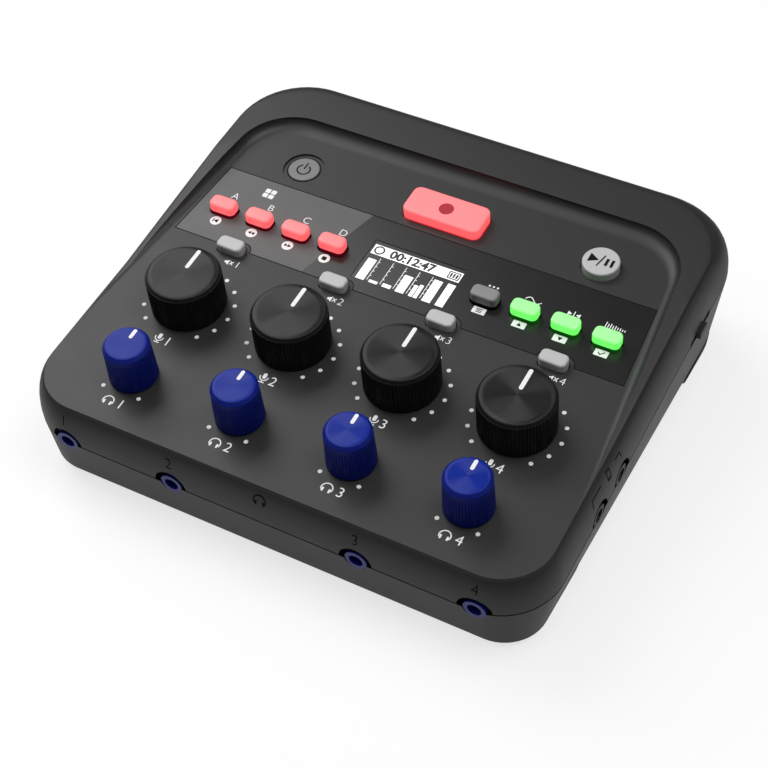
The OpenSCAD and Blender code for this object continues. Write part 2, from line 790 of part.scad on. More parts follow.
// Contact carrier on the floor of each tube, with three holes for the plug's pins
module mic_inserts() color("#2a2a2c") in_panel() for (i = [0:3]) at_mic(i) difference() {
    rod(mic_insert_r, mic_insert_sink, mic_bore_l);
    for (a = mic_pin_turns) rotate(a) translate([mic_pin_ring, 0, 0]) rod(mic_pin_r, -over, mic_pin_l);
}

module usb_port() color("#9a9da1") in_panel() translate([usb_sink - part_half_w, usb_y, usb_z]) along_x(0) {
    difference() {
        linear_extrude(usb_l) polygon(round_rect(usb_h, usb_w, usb_h / 2 - slice));
        translate([0, 0, -over]) linear_extrude(usb_l + over - port_floor)
            polygon(round_rect(usb_h - 2 * usb_wall, usb_w - 2 * usb_wall, usb_h / 2 - usb_wall - slice));
    }
    translate([-usb_tongue_h / 2, -usb_tongue_w / 2, usb_sink])
        cube([usb_tongue_h, usb_tongue_w, usb_l - usb_sink - slice]);
}

module card_slot() color("#9a9da1") in_panel()
    translate([card_sink - part_half_w, card_y - card_w / 2, card_z - card_h / 2]) difference() {
        cube([card_l, card_w, card_h]);
        translate([-over, card_wall, card_wall])
            cube([card_l + over - port_floor, card_w - 2 * card_wall, card_h - 2 * card_wall]);
    }

module switch_body() color("#232325") in_panel() difference() {
    translate([switch_face - switch_deep, switch_y - switch_body_l / 2, board_bottom - switch_body_h])
        cube([switch_deep, switch_body_l, switch_body_h]);
    translate([switch_face - tongue_in - slider_gap, switch_y - tongue_l / 2 - switch_travel - slider_gap,
        -part_depth - tongue_h / 2 - slider_gap])
        cube([tongue_in + over, tongue_l + 2 * (switch_travel + slider_gap), tongue_h + 2 * slider_gap]);
}
module switch_slider() color("#0e0e0f") in_panel() {
    translate([switch_face + slider_gap, switch_y - slider_l / 2, -part_depth - slider_h / 2])
        cube([part_half_w + slider_proud - switch_face - slider_gap, slider_l, slider_h]);
    translate([switch_face - tongue_in, switch_y - tongue_l / 2, -part_depth - tongue_h / 2])
        cube([tongue_in + slider_gap + slice, tongue_l, tongue_h]);
}

function cell_y(i) = cell_gap / 2 + (i + 0.5) * cell_pitch;
module battery_cells() color("#b9bcc0") in_panel() in_bay()
    for (i = [0:cell_count - 1]) translate([0, cell_y(i), cell_z])
        rotate([0, i % 2 == 0 ? 90 : -90, 0]) cell();
module cell() {
    rod(cell_dia / 2, -cell_l / 2, cell_l / 2 - cell_nub_h);
    rod(cell_nub_r, cell_l / 2 - cell_nub_h - slice, cell_l / 2);
}

// Pressed contact plates on the bay's end walls, each with a round bump against its battery
module battery_contacts() color("#c9ccd0") in_panel() in_bay()
    for (i = [0:cell_count - 1], s = [-1, 1])
        translate([s * bay_half_w, cell_y(i), cell_z]) rotate([0, -s * 90, 0]) {
            linear_extrude(contact_t) square(contact_side, center = true);
            rod(contact_bump_r, 0, contact_t + contact_bump_h);
        }

// The door turns on its round front edge and has a finger notch at the back
module battery_door() color("#38383a") in_panel() in_bay() translate([0, -door_ledge, 0]) difference() {
    union() {
        translate([-door_half_w, door_t / 2, 0]) cube([2 * door_half_w, door_l - door_t / 2, door_t]);
        translate([0, door_t / 2, door_t / 2]) along_x(-door_half_w)
            cylinder(r = door_t / 2, h = 2 * door_half_w, $fn = round_fn);
    }
    for (i = [0:door_ribs - 1]) translate([-door_rib_w / 2, door_l - door_rib_y - i * door_rib_pitch, -over])
        cube([door_rib_w, door_rib_t, over + door_rib_depth]);
}

// Ribbed ring as a star of shallow teeth
module ribbed(r, ribs, from, to) translate([0, 0, from]) linear_extrude(to - from)
    polygon([for (i = [0:2 * ribs - 1]) (r - (i % 2) * rib_depth)
        * [cos(180 * i / ribs), sin(180 * i / ribs)]]);

module gain_knob(i) color("#161617") in_panel() translate([channel_x[i], 0, 0]) difference() {
    union() {
        ribbed(gain_r, gain_ribs, knob_gap, gain_h - gain_bevel);
        translate([0, 0, gain_h - gain_bevel - slice])
            cylinder(r1 = gain_r - rib_depth, r2 = gain_r - gain_bevel, h = gain_bevel + slice,
                $fn = round_fn);
    }
    rod(gain_shaft_r + seat_gap, -over, gain_h - knob_roof);
}
module gain_shaft(i) color("#a8abad") in_panel() translate([channel_x[i], 0, 0])
    rod(gain_shaft_r, board_top + 2 * slice, gain_h - knob_roof - slice);

// Tapered knob with a smooth cap over grooved sides
module phones_knob(i) color("#14267f") in_panel() translate([channel_x[i], -phones_row, 0]) difference() {
    shoulder = phones_h - phones_bevel;
    rotate_extrude($fn = round_fn) polygon([[0, knob_gap], [phones_r, knob_gap], [phones_top_r, shoulder],
        [phones_disc_r, phones_h], [0, phones_h]]);
    for (rib = [1:phones_ribs]) rotate(360 * rib / phones_ribs) translate([phones_r, 0, 0])
        rotate([0, -atan((phones_r - phones_top_r) / shoulder), 0])
            translate([0, 0, -over])
                cylinder(r = phones_rib_r, h = over + shoulder - phones_cap_h, $fn = groove_fn);
    rod(phones_shaft_r + seat_gap, -over, phones_h - knob_roof);
}
module phones_shaft(i) color("#a8abad") in_panel() translate([channel_x[i], -phones_row, 0])
    rod(phones_shaft_r, board_top + 2 * slice, phones_h - knob_roof - slice);

// Key: a cap with a rounded upper edge, on a skirt whose flange stops under the panel
module key_cap(w, d, corner, h, edge, lift = 0) {
    straight = lift + h - edge;
    hull() {
        slab(w, d, corner, lift, straight);
        for (step = [1:crown_steps]) let (a = 90 * step / crown_steps, drawn = edge * (1 - cos(a)))
            slab(w - 2 * drawn, d - 2 * drawn, corner - drawn, straight, straight + edge * sin(a));
    }
    slab(w - 2 * skirt_inset, d - 2 * skirt_inset, corner, flange_bottom, lift + slice);
    slab(w + 2 * flange_edge, d + 2 * flange_edge, corner, flange_bottom, flange_top);
}
module small_key(lift) key_cap(key_w, key_d, key_corner, key_h, key_edge, lift);
module pad_key(i) color("#ff7070") in_panel() translate([-key_x(3 - i), key_row, 0]) small_key(key_lift);
module mute_key(i) color("#c4c4c4") in_panel() translate([channel_x[i], mute_row, 0]) small_key(0);
module menu_key() color("#747476") in_panel() translate([key_x(0), key_row, 0]) small_key(key_lift);
module effect_key(i) color("#74f070") in_panel() translate([key_x(i + 1), key_row, 0]) small_key(key_lift);
module record_key() color("#ff7878") in_panel() translate([0, record_row, 0])
    key_cap(record_w, record_d, record_corner, record_h, record_edge);

// Round keys are turned profiles
module round_key(r, top, edge) rotate_extrude($fn = round_fn) polygon(concat(
    [[0, flange_bottom], [r + flange_edge, flange_bottom], [r + flange_edge, flange_top], [r, flange_top]],
    arc(r - edge, top - edge, edge, 0, 90, 6), [[0, top]]));
module play_key() color("#c8c8c8") in_panel() translate([deck_x, deck_row, 0])
    round_key(play_r, play_h, play_edge);
module power_key() color("#8a8a8a") in_panel() translate([-deck_x, deck_row, 0])
    round_key(power_r, power_top, power_edge);

top_shell();
bottom_shell();
pad_cover();
display_cover();
lcd_module();
main_board();
gain_pots();
phones_pots();
tact_switches();
for (i = [0:3]) {
    phones_jack(i);
    mic_socket(i);
    gain_knob(i);
    gain_shaft(i);
    phones_knob(i);
    phones_shaft(i);
    pad_key(i);
    mute_key(i);
}
for (i = [0:1]) side_jack(i);
for (i = [0:2]) effect_key(i);
mic_inserts();
usb_port();
card_slot();
switch_body();
battery_cells();
battery_contacts();
case_screws();
rubber_pads();
menu_key();
record_key();
play_key();
power_key();
switch_slider();
battery_door();
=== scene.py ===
"""Looks of the podcast recorder: finishes, prints, screen picture and studio light."""

import json
import math

import bmesh
import bpy
from mathutils import Matrix, Vector
from mathutils.bvhtree import BVHTree
from mathutils.geometry import intersect_point_line

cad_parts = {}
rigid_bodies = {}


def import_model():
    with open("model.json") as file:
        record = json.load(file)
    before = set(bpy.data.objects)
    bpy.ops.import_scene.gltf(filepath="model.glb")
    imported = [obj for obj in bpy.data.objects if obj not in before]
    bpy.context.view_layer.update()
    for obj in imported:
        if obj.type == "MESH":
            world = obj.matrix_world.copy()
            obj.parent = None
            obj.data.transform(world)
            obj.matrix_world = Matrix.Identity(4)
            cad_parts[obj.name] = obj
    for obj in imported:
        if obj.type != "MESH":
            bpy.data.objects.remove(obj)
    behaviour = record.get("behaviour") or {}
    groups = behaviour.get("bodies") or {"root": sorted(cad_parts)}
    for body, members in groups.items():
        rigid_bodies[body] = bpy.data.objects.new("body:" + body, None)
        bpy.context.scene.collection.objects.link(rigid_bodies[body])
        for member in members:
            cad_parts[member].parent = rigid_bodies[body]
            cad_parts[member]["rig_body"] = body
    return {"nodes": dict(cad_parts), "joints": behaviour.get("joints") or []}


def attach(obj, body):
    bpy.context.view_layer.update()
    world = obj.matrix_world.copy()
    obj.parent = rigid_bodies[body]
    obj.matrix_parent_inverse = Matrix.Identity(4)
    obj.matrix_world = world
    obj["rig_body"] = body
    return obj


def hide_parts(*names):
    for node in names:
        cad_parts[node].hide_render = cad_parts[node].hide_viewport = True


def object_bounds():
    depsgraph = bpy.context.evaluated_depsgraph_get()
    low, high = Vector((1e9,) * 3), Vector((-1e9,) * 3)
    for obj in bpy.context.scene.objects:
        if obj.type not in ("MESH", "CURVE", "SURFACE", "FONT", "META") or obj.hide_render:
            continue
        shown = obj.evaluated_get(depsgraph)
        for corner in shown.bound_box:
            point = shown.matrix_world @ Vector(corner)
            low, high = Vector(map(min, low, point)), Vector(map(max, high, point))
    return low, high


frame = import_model()
cad_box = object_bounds()
nodes = frame["nodes"]
joints = {joint["name"]: joint for joint in frame["joints"]}
slot_of = {name: node.data.materials[0].name.split(".")[0] for name, node in nodes.items()}
scene = bpy.context.scene

MM = 0.001
WELD = 0.002 * MM
CHANNELS = (1, 2, 3, 4)
EFFECTS = (1, 2, 3)
SIDE_JACKS = (1, 2)

# The panel's own frame, in millimetres: x to the right, y to the back, z out of the panel
gain_at = [Vector(joints[f"gain_turn_{i}"]["pos_m"]) for i in CHANNELS]
phones_at = [Vector(joints[f"phones_turn_{i}"]["pos_m"]) for i in CHANNELS]
panel_normal = Vector(joints["gain_turn_1"]["axis"]).normalized()
panel_right = Vector((1, 0, 0))
panel_back = panel_normal.cross(panel_right)
panel_turn = Matrix((panel_right, panel_back, panel_normal)).transposed().to_4x4()
panel_origin = sum(gain_at, Vector()) / len(gain_at)
PANEL = Matrix.Translation(panel_origin) @ panel_turn @ Matrix.Scale(MM, 4)
TO_PANEL = PANEL.inverted()


def panel_points(node):
    """Corners of a node's mesh in the panel's millimetres."""
    return [TO_PANEL @ vertex.co for vertex in nodes[node].data.vertices]


def panel_box(node):
    """Lowest and highest corners of a node in the panel's millimetres."""
    points = panel_points(node)
    low = Vector([min(p[axis] for p in points) for axis in range(3)])
    high = Vector([max(p[axis] for p in points) for axis in range(3)])
    return low, high


def panel_centre(node):
    low, high = panel_box(node)
    return (low + high) / 2


def panel_top(node):
    return panel_box(node)[1].z


# Where the knobs, keys and screen stand on the panel
gains = [(TO_PANEL @ at).to_2d() for at in gain_at]
phones = [(TO_PANEL @ at).to_2d() for at in phones_at]
pads = [panel_centre(f"pad_key_{i}").to_2d() for i in CHANNELS]
mutes = [panel_centre(f"mute_key_{i}").to_2d() for i in CHANNELS]
effects = [panel_centre(f"effect_key_{i}").to_2d() for i in EFFECTS]
menu, play, power, record, screen = (
    panel_centre(name).to_2d()
    for name in ("menu_key", "play_key", "power_key", "record_key", "lcd_module"))

# Levels above the panel; the parting line runs through the front sockets, below it
GAIN_TOP = panel_top("gain_knob_1")
PHONES_TOP = panel_top("phones_knob_1")
KEY_TOP = panel_top("pad_key_1")
KEY_FOOT = KEY_TOP - panel_top("mute_key_1")
RECORD_TOP = panel_top("record_key")
PLAY_TOP = panel_top("play_key")
POWER_TOP = panel_top("power_key")
SCREEN_TOP = panel_top("lcd_module")
PARTING = panel_centre("phones_jack_1").z

# Sizes of the prints, in millimetres
INK = 0.03
FINE = 0.26
DIGIT_H = 2.8
LETTER_H = 2.3
FRONT_DIGIT_H = 3.0
SWEEP = 139.1
GAIN_DOTS = 13
GAIN_DOT_RING = 11.5
PHONES_DOT_RING = 7.77
DOT_R = 0.55
DOT_STEPS = 20
ROUND_BADGE_R = 1.52
BADGE = (3.5, 2.1, 0.15)

# Places of the prints, from the middle of the knob or key that they belong to
MIC_SIGN_AT = Vector((-0.9, -12.75))
MIC_DIGIT_AT = Vector((1.75, -14.25))
PHONES_SIGN_AT = Vector((-1.35, -9.35))
PHONES_DIGIT_AT = Vector((2.1, -10.4))
MUTE_SIGN_AT = Vector((1.5, -4.25))
MUTE_DIGIT_AT = Vector((4.2, -5.2))
PAD_LETTER_AT = Vector((-0.1, 4.65))
ROUND_BADGE_AT = Vector((-0.3, -4.15))
BADGE_AT = Vector((0, -3.6))
EFFECT_SIGN_AT = Vector((0, 4.95))
# From the middle between the first two pad keys
PADS_SIGN_AT = Vector((2.25, 10.15))

# How much thinner than the plain font a sign is, as a share of its height
THIN = 0.02
THIN_LETTER = 0.015
THIN_DIGIT = 0.005
BOLD_READOUT = -0.045
# Font size of a sign one unit high
FONT_SIZE = 1.37


# Colours

def linear(level):
    """Linear value of one 0 to 255 display level."""
    share = level / 255
    return share / 12.92 if share <= 0.04045 else ((share + 0.055) / 1.055) ** 2.4


def colour(red, green, blue):
    return (linear(red), linear(green), linear(blue), 1)


def grey(level):
    return colour(level, level, level)


# Materials

# Usual lowest and highest values of the noise
NOISE_LOW, NOISE_HIGH = 0.3, 0.7
# Shares of a key's height over which its skirt gives way to its cap
SKIRT_END, CAP_START = 0.03, 0.02
# Share of a lit key's height at which its crown begins
CROWN = 0.8
# The parting line, a line of painted shade: half its width, its fade and the reach of its scale,
# in millimetres
SEAM_HALF, SEAM_FADE, SEAM_SCALE = 0.16, 0.08, 1.0
# Darkest grey of the painted shade in the parting line
SEAM_SHADE_LEVEL = 30


class Finish:
    """A material whose nodes are added step by step."""

    def __init__(self, name):
        self.material = bpy.data.materials.new(name)
        self.material.use_nodes = True
        self.tree = self.material.node_tree
        self.shader = self.tree.nodes["Principled BSDF"]
        self.place = self.add("ShaderNodeTexCoord").outputs["Object"]

    def add(self, kind, **values):
        node = self.tree.nodes.new(kind)
        for key, value in values.items():
            setattr(node, key, value)
        return node

    def link(self, output, socket):
        self.tree.links.new(output, socket)

    def set(self, **values):
        for key, value in values.items():
            self.shader.inputs[key.replace("_", " ")].default_value = value
        return self

    def noise(self, size_mm, detail=3.0):
        """Grain of about the given size."""
        node = self.add("ShaderNodeTexNoise")
        node.inputs["Scale"].default_value = 1 / (size_mm * MM)
        node.inputs["Detail"].default_value = detail
        self.link(self.place, node.inputs["Vector"])
        return node.outputs["Fac"]

    def ramp(self, factor, *stops):
        """Colours or greys at stated places along a factor."""
        node = self.add("ShaderNodeValToRGB")
        row = node.color_ramp.elements
        while len(row) < len(stops):
            row.new(1.0)
        for element, (position, value) in zip(row, stops):
            element.position = position
            element.color = value
        self.link(factor, node.inputs["Fac"])
        return node.outputs["Color"]

    def mapped(self, value, from_low, from_high, to_low=0.0, to_high=1.0):
        """Node that maps a value from one range to another."""
        node = self.add("ShaderNodeMapRange")
        ends = {"From Min": from_low, "From Max": from_high, "To Min": to_low, "To Max": to_high}
        for key, end in ends.items():
            node.inputs[key].default_value = end
        self.link(value, node.inputs["Value"])
        return node

    def mottle(self, base, share, size_mm=18):
        """Base colour that drifts a little over the surface."""
        low = tuple(c * (1 - share) for c in base[:3]) + (1,)
        high = tuple(min(1, c * (1 + share)) for c in base[:3]) + (1,)
        drift = self.ramp(self.noise(size_mm), (NOISE_LOW, low), (NOISE_HIGH, high))
        self.link(drift, self.shader.inputs["Base Color"])
        return self

    def polish(self, low, high, size_mm=7):
        """Roughness that drifts between two values."""
        drift = self.mapped(self.noise(size_mm), NOISE_LOW, NOISE_HIGH, low, high)
        self.link(drift.outputs["Result"], self.shader.inputs["Roughness"])
        return self

    def grain(self, size_mm, depth_mm):
        """Fine relief of the moulded skin."""
        node = self.add("ShaderNodeBump")
        node.inputs["Strength"].default_value = 1.0
        node.inputs["Distance"].default_value = depth_mm * MM
        self.link(self.noise(size_mm, 2.0), node.inputs["Height"])
        self.link(node.outputs["Normal"], self.shader.inputs["Normal"])
        return self

    def height(self, bottom_mm, top_mm):
        """0 to 1 between two levels above the panel."""
        dot = self.add("ShaderNodeVectorMath", operation="DOT_PRODUCT")
        dot.inputs[1].default_value = panel_normal
        self.link(self.place, dot.inputs[0])
        base = panel_origin.dot(panel_normal)
        scale = self.mapped(dot.outputs["Value"], base + bottom_mm * MM, base + top_mm * MM)
        return scale.outputs["Result"]

    def seam_line(self, level_mm, shine):
        """A dark, dull line of painted shade round the walls at one level under the panel, where
        the two shells meet.
        """
        near = self.height(level_mm - SEAM_SCALE, level_mm + SEAM_SCALE)
        half, edge = (reach / (2 * SEAM_SCALE) for reach in (SEAM_HALF, SEAM_HALF + SEAM_FADE))
        stops = (0.5 - edge, 0.5 - half, 0.5 + half, 0.5 + edge)
        clear, dark = grey(255), grey(SEAM_SHADE_LEVEL)
        shade = self.ramp(near, *zip(stops, (clear, dark, dark, clear)))
        blend = self.add("ShaderNodeMix", data_type="RGBA", blend_type="MULTIPLY")
        blend.inputs["Factor"].default_value = 1.0
        base = self.shader.inputs["Base Color"]
        self.link(base.links[0].from_socket, blend.inputs["A"])
        self.link(shade, blend.inputs["B"])
        self.link(blend.outputs["Result"], base)
        bright, dull = (shine, shine, shine, 1), (0, 0, 0, 1)
        gloss = self.ramp(near, *zip(stops, (bright, dull, dull, bright)))
        self.link(gloss, self.shader.inputs["Specular IOR Level"])
        return self

    def glow(self, factor, strength, *stops):
        """Light of its own, with colours along a factor."""
        self.link(self.ramp(factor, *stops), self.shader.inputs["Emission Color"])
        return self.set(Emission_Strength=strength)


def plastic(name, level, low=0.44, high=0.52, grain_mm=0.35, depth_mm=0.006, drift=0.03):
    """Moulded plastic of one display level: roughness, fine spark texture, drift of its grey."""
    return Finish(name).mottle(grey(level), drift).polish(low, high).grain(grain_mm, depth_mm)


def lit_key(name, skirt, side, top, foot_mm, crown_mm):
    """Translucent key lit from inside: bright crown and deeper sides above a dark foot."""
    finish = Finish(name).mottle(skirt, 0.05).polish(0.34, 0.44).grain(0.3, 0.003)
    foot = foot_mm / crown_mm
    stops = [(0.0, skirt), (max(foot - SKIRT_END, 0.0), skirt), (foot + CAP_START, side),
             (CROWN, side), (1.0, top)]
    return finish.glow(finish.height(0, crown_mm), 1.0, *stops)


def skirted_key(name, level, skirt_level, foot_mm, crown_mm):
    """Grey key on a black skirt."""
    finish = Finish(name).polish(0.42, 0.5).grain(0.25, 0.004)
    foot = foot_mm / crown_mm
    stops = (foot - SKIRT_END, grey(skirt_level)), (foot + CAP_START, grey(level))
    shades = finish.ramp(finish.height(0, crown_mm), *stops)
    finish.link(shades, finish.shader.inputs["Base Color"])
    return finish


def spun(name, base, low, high, shine):
    """Turned face with fine circular tool marks, which draw highlights out to the edge."""
    finish = Finish(name).mottle(base, 0.05, 4).polish(low, high, 1.5)
    tangent = finish.add("ShaderNodeTangent", direction_type="RADIAL", axis="Z")
    finish.link(tangent.outputs["Tangent"], finish.shader.inputs["Tangent"])
    return finish.set(Anisotropic=0.95, Specular_IOR_Level=shine)


# Skirt, sides and crown of a lit key
LIT_RED = colour(70, 0, 10), colour(255, 100, 104), colour(255, 140, 141)
LIT_GREEN = colour(8, 62, 6), colour(112, 255, 104), colour(172, 255, 166)
RECORD_SKIRT = colour(190, 30, 40)
BLUE, BLUE_CAP, BLUE_SOCKET = colour(9, 28, 122), colour(15, 40, 140), colour(10, 26, 120)
GREEN_BOARD = colour(24, 82, 52)
RECORD_RED = colour(170, 12, 44)

FINISHES = {
    # The shell gets a line of painted shade along its parting seam
    "shell": plastic("moulded shell with seam shade", 40, 0.44, 0.47, 0.3, 0.003, 0.02).seam_line(PARTING, 0.4),
    "cover_light": plastic("grey cover film", 84, 0.46, 0.52, 0.2, 0.003, 0.015),
    "cover_dark": plastic("black cover film", 22, 0.28, 0.3, 0.2, 0.0004, 0.02),
    "screen": plastic("screen glass", 50, 0.22, 0.28, 0.6, 0.001, 0.02),
    "board": Finish("circuit board").mottle(GREEN_BOARD, 0.2, 3).polish(0.35, 0.5, 2)
    .grain(0.6, 0.01),
    "pot_metal": Finish("plated metal").mottle(grey(165), 0.1, 2).polish(0.25, 0.45, 1.5)
    .grain(0.2, 0.004).set(Metallic=1.0),
    "black_plastic": plastic("black plastic", 24, 0.45, 0.55),
    "knob_black": plastic("black knob", 18, 0.46, 0.54, 0.25, 0.004, 0.05)
    .set(Specular_IOR_Level=0.22),
    "knob_blue": Finish("blue knob").mottle(BLUE, 0.04, 5).polish(0.42, 0.5).grain(0.25, 0.003)
    .set(Specular_IOR_Level=0.2),
    "jack_blue": Finish("blue socket").mottle(BLUE_SOCKET, 0.05, 4).polish(0.34, 0.42)
    .grain(0.25, 0.003),
    "lit_red": lit_key("red key", *LIT_RED, KEY_FOOT, KEY_TOP),
    "lit_green": lit_key("green key", *LIT_GREEN, KEY_FOOT, KEY_TOP),
    "key_light": plastic("light grey key", 186, 0.42, 0.5, 0.25, 0.003, 0.015),
    "key_grey": plastic("grey key", 116, 0.42, 0.5, 0.25, 0.004, 0.02),
    "steel": Finish("screw steel").mottle(grey(150), 0.12, 1.5).polish(0.25, 0.45, 1)
    .grain(0.15, 0.004).set(Metallic=1.0),
    "cell_wrap": Finish("cell wrap").mottle(grey(170), 0.08, 6).polish(0.25, 0.4)
    .grain(0.8, 0.004),
    "rubber": plastic("rubber foot", 26, 0.7, 0.85, 0.3, 0.03, 0.1),
}
OWN_FINISHES = {
    "record_key": lit_key("red record key", RECORD_SKIRT, *LIT_RED[1:], 0, RECORD_TOP),
    "menu_key": skirted_key("grey menu key", 132, 14, KEY_FOOT, KEY_TOP),
}
white_ink = plastic("white ink", 236, 0.5, 0.6, 0.15, 0.002, 0.015)
# Dark ink of the signs and seams; the same finish paints the shade in the gap round the power key
dark_ink_and_shade = plastic("dark ink and gap shade", 12, 0.5, 0.6, 0.15, 0.002, 0.05).set(Specular_IOR_Level=0.12)
record_ink = Finish("record ink").mottle(RECORD_RED, 0.04, 2).polish(0.4, 0.5).grain(0.2, 0.002)
engraved = plastic("engraved mark", 7, 0.6, 0.7, 0.2, 0.006, 0.05).set(Specular_IOR_Level=0.08)
screen_ink = Finish("screen white").mottle(grey(200), 0.02, 2).polish(0.3, 0.4).grain(0.3, 0.001)
screen_ink.glow(screen_ink.noise(4), 0.75, (NOISE_LOW, grey(246)), (NOISE_HIGH, grey(252)))
screen_dark = plastic("screen dark", 20, 0.3, 0.4, 0.3, 0.001, 0.05)
gain_cap_finish = spun("spun black cap", grey(32), 0.31, 0.34, 0.24)
phones_cap_finish = spun("spun blue cap", BLUE_CAP, 0.31, 0.34, 0.18)


# Outlines of flat marks, as lists of points; turns are in degrees
BACK, RIGHT, FRONT, LEFT = 0, 90, 180, 270


def arc(x, y, radius, start, end, steps=24):
    """Points along an arc; 0 degrees is to the back, turning to the right."""
    turns = [math.radians(start + (end - start) * k / steps) for k in range(steps + 1)]
    return [(x + radius * math.sin(a), y + radius * math.cos(a)) for a in turns]


def disc(x, y, radius, steps=32):
    return arc(x, y, radius, 0, 360, steps)[:-1]


def plate(x, y, width, height, corner=0.0):
    """Rectangle about a centre, with round corners if asked."""
    w, h = width / 2 - corner, height / 2 - corner
    if corner == 0:
        return [(x - w, y - h), (x + w, y - h), (x + w, y + h), (x - w, y + h)]
    corners = [(w, h, 0), (w, -h, 90), (-w, -h, 180), (-w, h, 270)]
    return [point for dx, dy, turn in corners
            for point in arc(x + dx, y + dy, corner, turn, turn + 90, 6)]


def band(points, width):
    """Outline of an open stroke of even width along the points, with round ends."""
    half = width / 2
    steps = []
    for (x0, y0), (x1, y1) in zip(points, points[1:]):
        length = math.hypot(x1 - x0, y1 - y0)
        steps.append(((x1 - x0) / length, (y1 - y0) / length))
    left, right = [], []
    for k, (x, y) in enumerate(points):
        before, after = steps[max(k - 1, 0)], steps[min(k, len(steps) - 1)]
        tx, ty = before[0] + after[0], before[1] + after[1]
        size = (tx * tx + ty * ty) / 2
        nx, ny = -ty / size * half, tx / size * half
        left.append((x + nx, y + ny))
        right.append((x - nx, y - ny))
    head = math.degrees(math.atan2(steps[-1][0], steps[-1][1]))
    tail = math.degrees(math.atan2(steps[0][0], steps[0][1]))
    cap = arc(*points[-1], half, head - 90, head + 90, 8)
    foot = arc(*points[0], half, tail + 90, tail + 270, 8)
    return left[:-1] + cap + right[-2:0:-1] + foot


def triangle(x, y, size, turn):
    """Equal-sided triangle whose tip points along the turn."""
    return arc(x, y, size, turn, turn + 360, 3)[:-1]


# Pieces

def to_scene(name, mesh, finish, body, place=Matrix()):
    """A new piece that rides on a body."""
    piece = bpy.data.objects.new(name, mesh)
    scene.collection.objects.link(piece)
    mesh.materials.clear()
    mesh.materials.append(finish.material)
    piece.matrix_world = place
    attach(piece, body)
    return piece


class Marks:
    """Flat marks in the panel's millimetres, gathered into one thin piece."""

    # Corners nearer than this are one, and longer edges are split before a mark is bent
    JOIN = 0.001
    LONGEST_EDGE = 0.5

    def __init__(self):
        self.mesh = bmesh.new()

    def take(self, curve, x, y):
        """Adds a filled curve at a place."""
        curve.dimensions = "2D"
        curve.fill_mode = "BOTH"
        curve.extrude = INK / 2
        holder = bpy.data.objects.new("mark", curve)
        flat = bpy.data.meshes.new_from_object(holder)
        flat.transform(Matrix.Translation((x, y, INK / 2)))
        self.mesh.from_mesh(flat)
        bpy.data.objects.remove(holder)
        bpy.data.curves.remove(curve)
        bpy.data.meshes.remove(flat)

    def draw(self, *outlines):
        """Filled outlines; one inside another is a hole."""
        curve = bpy.data.curves.new("mark", "CURVE")
        curve.dimensions = "2D"
        for outline in outlines:
            spline = curve.splines.new("POLY")
            spline.points.add(len(outline) - 1)
            for point, (x, y) in zip(spline.points, outline):
                point.co = (x, y, 0, 1)
            spline.use_cyclic_u = True
        self.take(curve, 0, 0)

    def write(self, sign, x, y, height, thin=THIN):
        """Digits or a letter, centred at x on the base line y."""
        curve = bpy.data.curves.new("sign", "FONT")
        curve.body = sign
        curve.align_x = "CENTER"
        curve.size = height * FONT_SIZE
        curve.offset = -thin * height
        self.take(curve, x, y)

    def lay(self, name, finish, level, body="recorder", slot="black_plastic"):
        """The piece, lying on a level above the panel."""
        mesh = bpy.data.meshes.new(name)
        bmesh.ops.remove_doubles(self.mesh, verts=self.mesh.verts, dist=self.JOIN)
        self.mesh.to_mesh(mesh)
        mesh.transform(PANEL @ Matrix.Translation((0, 0, level)))
        to_scene(name, mesh, finish, body)

    def press(self, name, finish, node, place, along):
        """The piece, laid onto a curved wall: place maps a mark to a point outside it."""
        mesh = bpy.data.meshes.new(name)
        bmesh.ops.remove_doubles(self.mesh, verts=self.mesh.verts, dist=self.JOIN)
        bmesh.ops.triangulate(self.mesh, faces=self.mesh.faces)
        long_edges = [edge for edge in self.mesh.edges if edge.calc_length() > self.LONGEST_EDGE]
        bmesh.ops.subdivide_edges(self.mesh, edges=long_edges, cuts=3, use_grid_fill=True)
        bmesh.ops.triangulate(self.mesh, faces=self.mesh.faces)
        source = nodes[node].data
        wall = BVHTree.FromPolygons([vertex.co for vertex in source.vertices],
                                    [face.vertices for face in source.polygons])
        for vertex in self.mesh.verts:
            start = PANEL @ place(vertex.co.x, vertex.co.y)
            hit = wall.ray_cast(start, along)[0]
            vertex.co = hit - along * vertex.co.z * MM
        self.mesh.to_mesh(mesh)
        to_scene(name, mesh, finish, "recorder")


def welded(mesh):
    """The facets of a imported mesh, joined into one skin."""
    skin = bmesh.new()
    skin.from_mesh(mesh)
    bmesh.ops.remove_doubles(skin, verts=skin.verts, dist=WELD)
    return skin


def dress(name, rounding_mm=0.0, crease=30):
    """Skin of a node with its facets blended and, if asked, its edges softened."""
    source = nodes[name]
    slot = slot_of[name]
    finish = OWN_FINISHES.get(name, FINISHES[slot])
    mesh = source.data.copy()
    joined = welded(mesh)
    joined.to_mesh(mesh)
    joined.free()
    if "custom_normal" in mesh.attributes:
        mesh.attributes.remove(mesh.attributes["custom_normal"])
    mesh.shade_smooth()
    mesh.set_sharp_from_angle(angle=math.radians(crease))
    skin = to_scene(f"{name}_skin", mesh, finish, source["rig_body"])
    if rounding_mm:
        bevel = skin.modifiers.new("soft edges", "BEVEL")
        bevel.width = rounding_mm * MM
        bevel.segments = 3
        bevel.limit_method = "ANGLE"
        bevel.angle_limit = math.radians(crease)
    weighted = skin.modifiers.new("flat faces", "WEIGHTED_NORMAL")
    weighted.keep_sharp = True
    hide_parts(name)


for name, node in nodes.items():
    for slot in node.material_slots:
        slot.material = FINISHES[slot_of[name]].material

# Edges turned by more than these angles, in degrees, stay sharp
SHELL_CREASE = 13
KEY_CREASE = 45
KNOB_CREASE = 10
CAP_CREASE = 25
